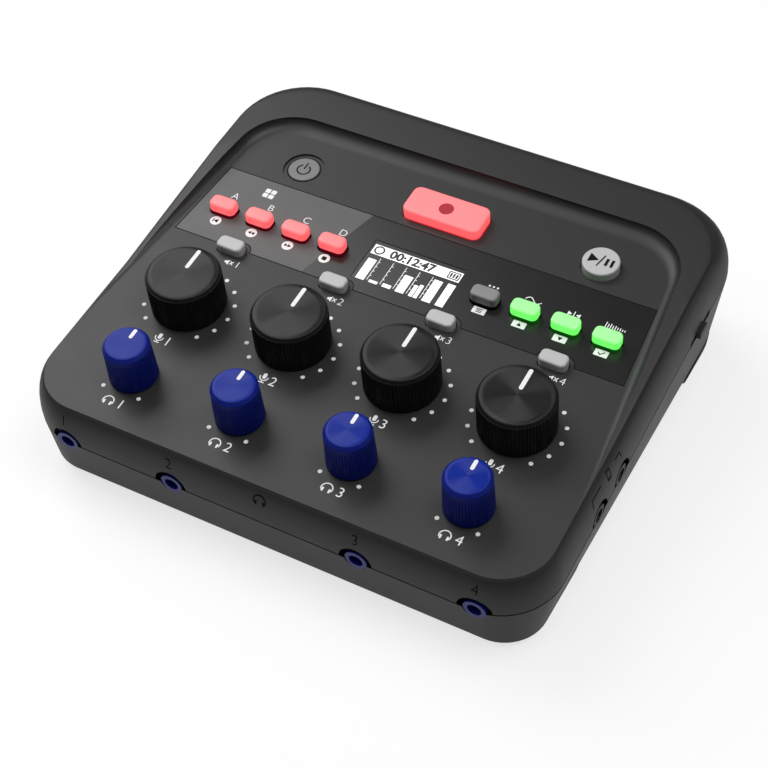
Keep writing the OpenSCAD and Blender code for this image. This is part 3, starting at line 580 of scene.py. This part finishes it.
# Width of the top shell's softened edges, in millimetres
SHELL_ROUNDING = 0.1

SMALL_KEYS = [f"{kind}_key_{i}" for kind in ("pad", "mute") for i in CHANNELS]
SMALL_KEYS += [f"effect_key_{i}" for i in EFFECTS]
SMALL_KEYS += ["menu_key"]

# Softened skins of the pieces that show
dress("top_shell", SHELL_ROUNDING, SHELL_CREASE)
for name in ("bottom_shell", "pad_cover", "display_cover", "play_key", "power_key"):
    dress(name)
for name in SMALL_KEYS + ["record_key"]:
    dress(name, crease=KEY_CREASE)
for i in CHANNELS:
    dress(f"gain_knob_{i}", crease=KNOB_CREASE)
    dress(f"phones_knob_{i}", crease=KNOB_CREASE)
    dress(f"phones_jack_{i}")
    dress(f"mic_socket_{i}")
for i in SIDE_JACKS:
    dress(f"side_jack_{i}")


# Knobs, in millimetres; a pointer starts and ends at these distances from its knob's axis
CAP_T = 0.08
CAP_STEPS = 96
CAP_EDGE = ((0.0, 0.0), (0.06, 0.05), (0.15, CAP_T))
CAP_RINGS = (0.85, 0.6, 0.35, 0.1)
GAIN_CAP_R = 8.65
PHONES_CAP_R = 5.0
GAIN_POINTER = (1.6, 8.1, 1.05)
PHONES_POINTER = (1.75, 4.75, 0.95)


def turned_cap(name, body, at, radius, level, finish):
    """Spun face of a knob: a thin disc with a broken edge, turned about the knob's own axis."""
    profile = [(radius - inset, rise) for inset, rise in CAP_EDGE]
    profile += [(radius * share, CAP_T) for share in CAP_RINGS]
    cap = bmesh.new()
    for r, z in profile:
        for k in range(CAP_STEPS):
            turn = math.tau * k / CAP_STEPS
            cap.verts.new((r * math.cos(turn) * MM, r * math.sin(turn) * MM, z * MM))
    cap.verts.ensure_lookup_table()
    for row in range(len(profile) - 1):
        for k in range(CAP_STEPS):
            a, b = row * CAP_STEPS + k, row * CAP_STEPS + (k + 1) % CAP_STEPS
            cap.faces.new([cap.verts[j] for j in (a, b, b + CAP_STEPS, a + CAP_STEPS)])
    corners = list(cap.verts)
    cap.faces.new(corners[-CAP_STEPS:])
    cap.faces.new(reversed(corners[:CAP_STEPS]))
    mesh = bpy.data.meshes.new(name)
    cap.to_mesh(mesh)
    mesh.shade_smooth()
    mesh.set_sharp_from_angle(angle=math.radians(CAP_CREASE))
    place = Matrix.Translation(at + panel_normal * level * MM) @ panel_turn
    to_scene(name, mesh, finish, body, place)


def pointer(name, body, at, level, inner, outer, width):
    """White line on a cap, from near its middle to its edge."""
    line = Marks()
    ends = [(at.x, at.y + inner + width / 2), (at.x, at.y + outer - width / 2)]
    line.draw(band(ends, width))
    line.lay(name, white_ink, level, body)


for k, i in enumerate(CHANNELS):
    turned_cap(f"gain_cap_{i}", f"gain_{i}", gain_at[k], GAIN_CAP_R, GAIN_TOP,
               gain_cap_finish)
    turned_cap(f"phones_cap_{i}", f"phones_{i}", phones_at[k], PHONES_CAP_R, PHONES_TOP,
               phones_cap_finish)
    pointer(f"gain_pointer_{i}", f"gain_{i}", gains[k], GAIN_TOP + CAP_T, *GAIN_POINTER)
    pointer(f"phones_pointer_{i}", f"phones_{i}", phones[k], PHONES_TOP + CAP_T, *PHONES_POINTER)


# Prints on the panel

def microphone(marks, x, y):
    """Capsule in its cradle, on a stem with a foot."""
    capsule_w, capsule_h, corner, capsule_rise = 0.95, 1.75, 0.47, 0.55
    cradle_r, cradle_rise, cradle_start = 1.05, 0.2, 85
    stem_top, stem_foot, foot_drop, foot_half = 0.85, 1.35, 1.45, 0.65
    cradle = arc(x, y + cradle_rise, cradle_r, cradle_start, 360 - cradle_start)
    marks.draw(plate(x, y + capsule_rise, capsule_w, capsule_h, corner))
    marks.draw(band(cradle, FINE))
    marks.draw(band([(x, y - stem_top), (x, y - stem_foot)], FINE))
    marks.draw(band([(x - foot_half, y - foot_drop), (x + foot_half, y - foot_drop)], FINE))


def headphones(marks, x, y, size=1.4, width=0.3):
    """Head band with two ear cups."""
    cup_out, cup_top, cup_foot = (size * share for share in (0.62, 0.12, 0.62))
    cup_width = width * 1.6
    band_end = 112
    marks.draw(band(arc(x, y, size, -band_end, band_end), width))
    for side in (-1, 1):
        cup = x + side * cup_out
        marks.draw(band([(cup, y - cup_top), (cup, y - cup_foot)], cup_width))


def muted_speaker(marks, x, y):
    """Loudspeaker beside a cross."""
    back, neck, mouth, coil_half, mouth_half = x - 1.0, x - 0.5, x + 0.15, 0.35, 0.9
    cross_start, cross_end, cross_half, cross_width = x + 0.55, x + 1.35, 0.5, 0.24
    marks.draw([(back, y - coil_half), (neck, y - coil_half), (mouth, y - mouth_half),
                (mouth, y + mouth_half), (neck, y + coil_half), (back, y + coil_half)])
    for rise in (cross_half, -cross_half):
        marks.draw(band([(cross_start, y + rise), (cross_end, y - rise)], cross_width))


dots, signs = Marks(), Marks()
for i, gain, phone, mute in zip(CHANNELS, gains, phones, mutes):
    dot_places = arc(*gain, GAIN_DOT_RING, -SWEEP, SWEEP, GAIN_DOTS - 1)
    dot_places += arc(*phone, PHONES_DOT_RING, -SWEEP, SWEEP, 1)
    for place in dot_places:
        dots.draw(disc(*place, DOT_R, DOT_STEPS))
    microphone(signs, *(gain + MIC_SIGN_AT))
    signs.write(str(i), *(gain + MIC_DIGIT_AT), DIGIT_H, THIN_DIGIT)
    headphones(signs, *(phone + PHONES_SIGN_AT))
    signs.write(str(i), *(phone + PHONES_DIGIT_AT), DIGIT_H, THIN_DIGIT)
    muted_speaker(signs, *(mute + MUTE_SIGN_AT))
    signs.write(str(i), *(mute + MUTE_DIGIT_AT), LETTER_H)
dots.lay("knob_dots", white_ink, 0)
signs.lay("channel_signs", white_ink, 0)


# Dark signs for the white badges
PAIR_HEAD = 0.62
PAIR_NEAR, PAIR_FAR = 0.42, 0.55
UPRIGHT_HEAD = 0.72
UPRIGHT_SHIFT = 0.12


def skip_back(x, y):
    """Arrowhead to the left, against a bar."""
    bar_x, bar_h, head_x, head = x - 0.72, 1.3, x + 0.22, 0.78
    return [plate(bar_x, y, FINE, bar_h), triangle(head_x, y, head, LEFT)]


def rewind(x, y):
    return [triangle(x + shift, y, PAIR_HEAD, LEFT) for shift in (-PAIR_NEAR, PAIR_FAR)]


def forward(x, y):
    return [triangle(x + shift, y, PAIR_HEAD, RIGHT) for shift in (-PAIR_FAR, PAIR_NEAR)]


def stop(x, y):
    side = 1.2
    return [plate(x, y, side, side)]


def menu_lines(x, y):
    width, thickness, pitch = 1.5, 0.22, 0.5
    return [plate(x, y + step * pitch, width, thickness) for step in (-1, 0, 1)]


def arrow_up(x, y):
    return [triangle(x, y - UPRIGHT_SHIFT, UPRIGHT_HEAD, BACK)]


def arrow_down(x, y):
    return [triangle(x, y + UPRIGHT_SHIFT, UPRIGHT_HEAD, FRONT)]


def tick(x, y):
    start, corner, end = (x - 0.75, y + 0.05), (x - 0.2, y - 0.5), (x + 0.8, y + 0.5)
    return [band([start, corner, end], FINE)]


# White signs behind the keys of the display half

def three_dots(marks, x, y):
    pitch, radius = 1.1, 0.3
    for step in (-1, 0, 1):
        marks.draw(disc(x + step * pitch, y, radius, DOT_STEPS))


def wave(marks, x, y):
    """One full wave."""
    length, rise, steps = 4.2, 0.75, 24
    points = [(x + length * (k / steps - 0.5), y + rise * math.sin(math.tau * k / steps))
              for k in range(steps + 1)]
    marks.draw(band(points, FINE))


def mirror(marks, x, y):
    """Two arrowheads that point at an upright line between them."""
    apart, head, half_line = 1.25, 0.75, 0.9
    marks.draw(triangle(x - apart, y, head, RIGHT))
    marks.draw(triangle(x + apart, y, head, LEFT))
    marks.draw(band([(x, y - half_line), (x, y + half_line)], FINE))


def dying_echo(marks, x, y):
    """Row of upright bars, long and short in turn, that fade out to the right."""
    bars, pitch, rise, width = 9, 0.62, 0.1, 0.24
    longest, shortest, short_share = 0.95, 0.12, 0.55
    for k in range(bars):
        reach = longest * (1 - k / bars) * (short_share if k % 2 else 1.0) + shortest
        at = x + (k - bars // 2) * pitch
        marks.draw(band([(at, y + rise - reach), (at, y + rise + reach)], width))


def four_squares(marks, x, y):
    """Block of four pads."""
    half_pitch, size, corner = 0.86, 1.42, 0.25
    for dx in (-half_pitch, half_pitch):
        for dy in (-half_pitch, half_pitch):
            marks.draw(plate(x + dx, y + dy, size, size, corner))


# Prints on the two covers
pad_prints, display_prints, badge_signs = Marks(), Marks(), Marks()
for letter, pad, sign in zip("ABCD", pads, (skip_back, rewind, forward, stop)):
    badge = pad + ROUND_BADGE_AT
    pad_prints.write(letter, *(pad + PAD_LETTER_AT), LETTER_H, THIN_LETTER)
    pad_prints.draw(disc(*badge, ROUND_BADGE_R))
    badge_signs.draw(*sign(*badge))
four_squares(pad_prints, *((pads[0] + pads[1]) / 2 + PADS_SIGN_AT))
pad_prints.lay("pad_prints", white_ink, 0)

lower_signs = menu_lines, arrow_up, arrow_down, tick
upper_signs = three_dots, wave, mirror, dying_echo
for key, lower, upper in zip([menu] + effects, lower_signs, upper_signs):
    badge = key + BADGE_AT
    display_prints.draw(plate(*badge, *BADGE))
    badge_signs.draw(*lower(*badge))
    upper(display_prints, *(key + EFFECT_SIGN_AT))
display_prints.lay("display_prints", white_ink, 0)
badge_signs.lay("badge_signs", dark_ink_and_shade, INK)


# Seams round the two covers, drawn out as dark lines
SEAM_W = 0.26
SEAM_REACH = 0.4
SHORTEST_SEAM = 0.02
LEVEL_SLACK = 0.01
END_SLACK = 0.01


def cover_outline(node):
    """Outer outline of a cover's top face, as a loop of points in the panel's millimetres."""
    skin = welded(nodes[node].data)
    top = panel_top(node)
    on_top = {vertex: abs((TO_PANEL @ vertex.co).z - top) < LEVEL_SLACK for vertex in skin.verts}
    flat = {face: all(on_top[vertex] for vertex in face.verts) for face in skin.faces}
    follow = {}
    for edge in skin.edges:
        if sum(flat[face] for face in edge.link_faces) == 1:
            for vertex in edge.verts:
                follow.setdefault(vertex, []).append(edge.other_vert(vertex))
    loops = []
    while follow:
        loop = [next(iter(follow))]
        while loop[-1] in follow:
            ahead = [vertex for vertex in follow.pop(loop[-1]) if vertex in follow]
            if ahead:
                loop.append(ahead[0])
        loops.append([(TO_PANEL @ vertex.co).to_2d() for vertex in loop])
    skin.free()
    return max(loops, key=lambda loop: max(p.x for p in loop) - min(p.x for p in loop))


def sides(loop):
    """The sides of a closed outline, each as its two ends."""
    return zip(loop, loop[1:] + loop[:1])


def near_outline(point, loop):
    """Whether a point lies within reach of an outline."""
    for a, b in sides(loop):
        foot, share = intersect_point_line(point, a, b)
        beside = -END_SLACK < share < 1 + END_SLACK
        if beside and (foot.to_2d() - point).length < SEAM_REACH:
            return True
    return False


outlines = [cover_outline(name) for name in ("pad_cover", "display_cover")]
seams = Marks()
for loop, other in (outlines, outlines[::-1]):
    for a, b in sides(loop):
        if (b - a).length > SHORTEST_SEAM and not near_outline((a + b) / 2, other):
            seams.draw(band([tuple(a), tuple(b)], SEAM_W))
seams.lay("cover_seams", dark_ink_and_shade, 0)


# Signs on the play, power and record keys, and painted shade in the gap round the power key
POWER_GAP_SHADE = 0.42
POWER_CLEAR = 0.02
POWER_RECESS = 0.5
POWER_EDGE = 0.2
POWER_STROKE = 0.42
POWER_STEPS = 64
RECORD_DOT_R = 2.0
RECORD_DOT_DROP = 0.1
RECORD_STEPS = 48


def play_and_pause(marks, x, y):
    """Arrowhead and two bars, with a stroke between them."""
    head_x, head = x - 2.35, 1.75
    stroke_foot, stroke_top, stroke_half, stroke_width = x - 0.5, x + 0.4, 1.9, 0.38
    bar_w, bar_h = 0.75, 2.5
    marks.draw(triangle(head_x, y, head, RIGHT))
    marks.draw(band([(stroke_foot, y - stroke_half), (stroke_top, y + stroke_half)], stroke_width))
    for step in (1.5, 2.95):
        marks.draw(plate(x + step, y, bar_w, bar_h))


def standby(marks, x, y):
    """Broken ring with an upright line in its gap."""
    ring_r, ring_drop, gap_half, line_foot, line_top = 1.75, 0.2, 35, 0.2, 2.3
    ring = arc(x, y - ring_drop, ring_r, gap_half, 360 - gap_half)
    marks.draw(band(ring, POWER_STROKE))
    marks.draw(band([(x, y + line_foot), (x, y + line_top)], POWER_STROKE))


play_sign = Marks()
play_and_pause(play_sign, *play)
play_sign.lay("play_sign", dark_ink_and_shade, PLAY_TOP, "play_key")

power_sign = Marks()
standby(power_sign, *power)
power_sign.lay("power_sign", dark_ink_and_shade, POWER_TOP, "power_key")

power_rim = [p.to_2d() for p in panel_points("power_key") if p.z > POWER_TOP - POWER_EDGE]
power_r = max((p - power).length for p in power_rim)
# Painted shade: a dark ring on the recess floor round the power key, standing in for the shade in
# a wide gap between key and recess
power_gap_shade = Marks()
power_gap_shade.draw(disc(*power, power_r + POWER_GAP_SHADE, POWER_STEPS),
               disc(*power, power_r + POWER_CLEAR, POWER_STEPS))
power_gap_shade.lay("power_gap_shade", dark_ink_and_shade, -POWER_RECESS)

record_sign = Marks()
record_sign.draw(disc(record.x, record.y - RECORD_DOT_DROP, RECORD_DOT_R, RECORD_STEPS))
record_sign.lay("record_sign", record_ink, RECORD_TOP, "record_key", "lit_red")


# Picture on the screen, in millimetres from the screen's middle
HEADER_X = screen.x + 0.35
HEADER_Y = screen.y + 3.8
HEADER_W = 25.0
HEADER_H = 3.3
METER_FOOT = screen.y - 6.9
METER_W = 2.35
METER_PITCH = 3.72
METER_FIRST = screen.x - 10.5
METER_LEVELS = (7.4, 0.9, 1.2, 6.0, 4.3, 7.7, 7.9)
# The stereo meter: its place in the row, and its two halves as shares of a meter's width
SPLIT_METER = 4
SPLIT_OUT, SPLIT_W, SPLIT_STEP = 0.27, 0.44, 0.3
# Scale between two meters: its line and its ticks
SCALE_W, SCALE_H, SCALE_RISE = 0.12, 7.8, 4.4
TICKS = 4
TICK_W, TICK_H, TICK_OUT, TICK_RISE, TICK_PITCH = 0.36, 0.14, 0.3, 0.6, 1.6

picture = Marks()
picture.draw(plate(HEADER_X, HEADER_Y, HEADER_W, HEADER_H))
for k, level in enumerate(METER_LEVELS):
    x = METER_FIRST + k * METER_PITCH
    if k == SPLIT_METER:
        for side in (-1, 1):
            tall = level + side * SPLIT_STEP
            middle = x + side * METER_W * SPLIT_OUT
            picture.draw(plate(middle, METER_FOOT + tall / 2, METER_W * SPLIT_W, tall))
    else:
        picture.draw(plate(x, METER_FOOT + level / 2, METER_W, level))
    if 0 < k < len(METER_LEVELS) - 1:
        scale = x - METER_PITCH / 2
        picture.draw(plate(scale, METER_FOOT + SCALE_RISE, SCALE_W, SCALE_H))
        for step in range(1, TICKS + 1):
            rise = TICK_RISE + step * TICK_PITCH
            picture.draw(plate(scale + TICK_OUT, METER_FOOT + rise, TICK_W, TICK_H))
picture.lay("screen_picture", screen_ink, SCREEN_TOP, slot="screen")

RING_X = screen.x - 10.3
RING_OUTER, RING_INNER = 1.45, 1.0
CLOCK = "00:12:47"
CLOCK_X = screen.x - 0.9
CLOCK_DROP = 1.2
CLOCK_H = 2.65
CELL_X = screen.x + 10.8
CELL_OUTER, CELL_INNER = (3.2, 2.5, 0.3), (2.6, 1.9, 0.15)
CELL_BAR = (0.5, 1.4)
CELL_BAR_PITCH = 0.8

readout = Marks()
readout.draw(disc(RING_X, HEADER_Y, RING_OUTER), disc(RING_X, HEADER_Y, RING_INNER))
readout.write(CLOCK, CLOCK_X, HEADER_Y - CLOCK_DROP, CLOCK_H, BOLD_READOUT)
readout.draw(plate(CELL_X, HEADER_Y, *CELL_OUTER), plate(CELL_X, HEADER_Y, *CELL_INNER))
for step in (-1, 0, 1):
    readout.draw(plate(CELL_X + step * CELL_BAR_PITCH, HEADER_Y, *CELL_BAR))
readout.lay("screen_readout", screen_dark, SCREEN_TOP + INK, slot="screen")


# Dark marks on the walls, at heights over the sockets' axes, which lie on the parting line
OUTSIDE = 15
FRONT_DIGIT_RISE = 5.9
FRONT_SIGN_RISE = 7.3
FRONT_SIGN_SIZE = 1.6
FRONT_SIGN_WIDTH = 0.36
# Bracket over the two side sockets: corners behind and above each socket's axis
NEAR_BRACKET = ((-2.9, 6.0), (-2.6, 8.3), (2.2, 8.3))
FAR_BRACKET = ((-2.2, 8.3), (0.1, 8.3), (0.4, 6.6))
BRACKET_WIDTH = 0.34
# Frame between them: outer and inner width, height and corner
FRAME_RISE, FRAME_OUTER = 7.7, (1.9, 3.2, 0.4)
WINDOW_RISE, WINDOW = 7.9, (1.3, 1.9)

shell_low, shell_high = panel_box("top_shell")
front_marks = Marks()
for i in CHANNELS:
    jack_x = panel_centre(f"phones_jack_{i}").x
    front_marks.write(str(i), jack_x, PARTING + FRONT_DIGIT_RISE, FRONT_DIGIT_H, THIN_LETTER)
headphones(front_marks, 0, PARTING + FRONT_SIGN_RISE, FRONT_SIGN_SIZE, FRONT_SIGN_WIDTH)
front_marks.press("front_marks", engraved, "top_shell",
                  lambda x, z: Vector((x, shell_low.y - OUTSIDE, z)), panel_back)

side_marks = Marks()
near, far = (panel_centre(f"side_jack_{i}").y for i in SIDE_JACKS)
between = (near + far) / 2
for axis, corners in ((near, NEAR_BRACKET), (far, FAR_BRACKET)):
    bracket = [(axis + shift, PARTING + rise) for shift, rise in corners]
    side_marks.draw(band(bracket, BRACKET_WIDTH))
side_marks.draw(plate(between, PARTING + FRAME_RISE, *FRAME_OUTER),
                plate(between, PARTING + WINDOW_RISE, *WINDOW))
side_marks.press("side_marks", engraved, "top_shell",
                 lambda y, z: Vector((shell_high.x + OUTSIDE, y, z)), -panel_right)


# Floor, light and camera, in metres, watts and degrees
FLOOR_HALF = 3.0
FLOOR_LEVEL = 137
FLOOR_GLOW = 222
# Glow of the floor round the recorder, and the distances over which it fades
POOL = 0.6
POOL_R = (0.09, 0.22)
# Each soft box: its place, the point it faces, its width and its power
LIGHTS = {
    "overhead": ((0.3, 0.05, 0.88), (0, 0, 0), 0.5, 3.8),
    "left sheen": ((-0.56, 0.18, 0.65), (0, 0, 0.03), 0.6, 5),
    "front fill": ((-0.15, -0.3, 0.85), (0, 0, 0.03), 0.5, 1.4),
    "right fill": ((0.7, 0.1, 0.3), (0, 0, 0.02), 0.4, 0.15),
}
WORLD_STRENGTH = 0.08
CAMERA_AT = Vector((0.147758, -0.278305, 0.314887))
CAMERA_TURN = 28.485
CAMERA_RISE = 44.835
CAMERA_ROLL = -0.463
LENS_MM = 79.64
CLIP_START = 0.01

floor_mesh = bpy.data.meshes.new("floor")
slab = bmesh.new()
bmesh.ops.create_grid(slab, x_segments=8, y_segments=8, size=FLOOR_HALF)
slab.to_mesh(floor_mesh)
floor = bpy.data.objects.new("floor", floor_mesh)
floor.location.z = cad_box[0][2]
scene.collection.objects.link(floor)

floor_finish = Finish("pale floor").mottle(grey(FLOOR_LEVEL), 0.004, 300).polish(0.85, 0.95, 100)
floor_finish.set(Emission_Color=grey(FLOOR_GLOW))
distance = floor_finish.add("ShaderNodeVectorMath", operation="LENGTH")
floor_finish.link(floor_finish.place, distance.inputs[0])
pool = floor_finish.mapped(distance.outputs["Value"], *POOL_R, POOL, 0.0)
light_path = floor_finish.add("ShaderNodeLightPath")
seen = floor_finish.mapped(light_path.outputs["Is Camera Ray"], 0.0, 1.0)
floor_finish.link(pool.outputs["Result"], seen.inputs["To Min"])
floor_finish.link(seen.outputs["Result"], floor_finish.shader.inputs["Emission Strength"])
floor_mesh.materials.append(floor_finish.material)


def soft_light(name, at, towards, size, watts):
    """Square soft box that faces a point."""
    lamp = bpy.data.lights.new(name, "AREA")
    lamp.size = size
    lamp.energy = watts
    holder = bpy.data.objects.new(name, lamp)
    holder.location = at
    holder.rotation_euler = (Vector(towards) - Vector(at)).to_track_quat("-Z", "Y").to_euler()
    scene.collection.objects.link(holder)


for name, light in LIGHTS.items():
    soft_light(name, *light)

world = bpy.data.worlds.new("studio")
scene.world = world
world.use_nodes = True
sky = world.node_tree.nodes["Background"]
sky.inputs["Color"].default_value = (1, 1, 1, 1)
sky.inputs["Strength"].default_value = WORLD_STRENGTH

camera = bpy.data.cameras.new("camera")
camera.lens = LENS_MM
camera.sensor_fit = "HORIZONTAL"
camera.clip_start = CLIP_START
eye = bpy.data.objects.new("camera", camera)
turn = Matrix.Rotation(math.radians(CAMERA_TURN), 4, "Z")
rise = Matrix.Rotation(math.radians(90 - CAMERA_RISE), 4, "X")
roll = Matrix.Rotation(math.radians(CAMERA_ROLL), 4, "Z")
eye.matrix_world = Matrix.Translation(CAMERA_AT) @ turn @ rise @ roll
scene.collection.objects.link(eye)
scene.camera = eye
scene.view_settings.view_transform = "Standard"
